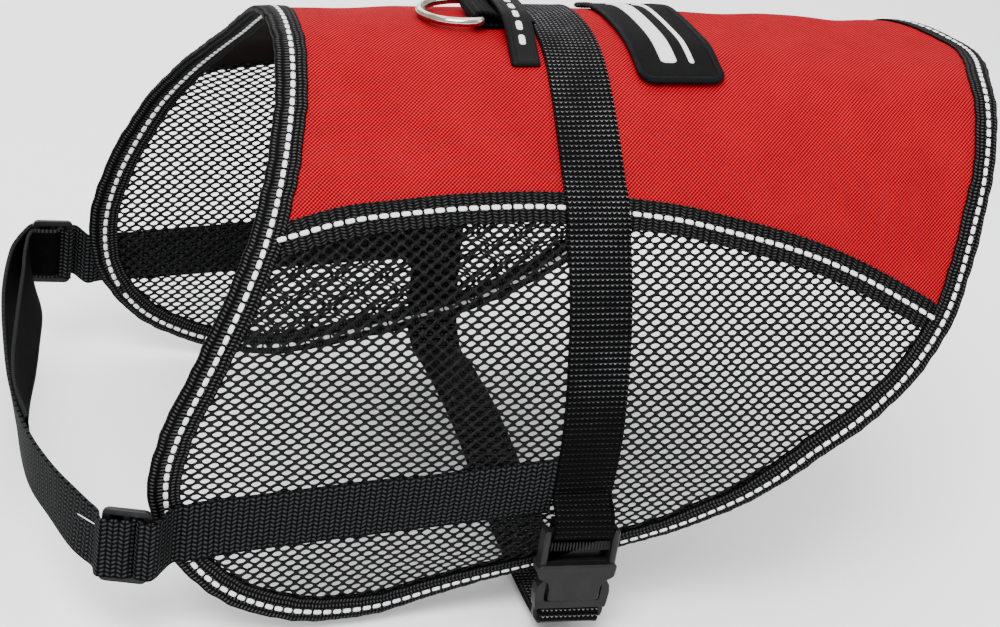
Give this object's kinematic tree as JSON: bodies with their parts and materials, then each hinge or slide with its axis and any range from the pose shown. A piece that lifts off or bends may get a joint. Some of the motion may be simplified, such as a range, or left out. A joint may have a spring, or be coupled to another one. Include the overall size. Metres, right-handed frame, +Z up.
{
  "type": "service dog vest",
  "caption": "Cape-style dog vest: cloth back panel, net sides, bound edges, adjustable chest webbing, belly strap with side-release buckle and a leash ring on the back.",
  "frame": {"origin": "inside of the back panel, on the spine, halfway along the vest, where it rests on the dog's back", "axes": "-X towards the dog's head, +Z up, -Y the side with the buckle"},
  "size_m": [0.4187, 0.2601, 0.2272],
  "materials": {
    "red_cloth": "woven, matt",
    "black_net": "open knitted net",
    "black_tape": "ribbed tape with a reflective thread",
    "black_webbing": "ribbed webbing",
    "black_plastic": "satin moulding",
    "black_rubber": "moulded, matt",
    "nickel": "polished plating",
    "badge_cloth": "embroidered"
  },
  "bodies": {
    "vest": {"back_panel": "red_cloth", "net_near": "black_net", "net_far": "black_net", "binding_neck": "black_tape", "binding_hem_near": "black_tape", "binding_hem_far": "black_tape", "binding_rump": "black_tape", "trim_near": "black_tape", "trim_far": "black_tape", "belly_strap": "black_webbing", "chest_strap_near": "black_webbing", "chest_strap_far": "black_webbing", "chest_loop": "black_webbing", "ring_webbing": "black_webbing", "buckle_socket": "black_plastic", "buckle_plug": "black_plastic", "slider_near": "black_plastic", "slider_far": "black_plastic", "rubber_tag": "black_rubber", "patch": "badge_cloth", "patch_border": "badge_cloth"},
    "ring": {"d_ring": "nickel"}
  },
  "joints": [
    {"name": "ring_swing", "type": "hinge", "parent": "vest", "child": "ring", "pos_m": [-0.076, 0, 0.00371], "axis": [0, 1, 0], "range_deg": [0, 125]}
  ]
}
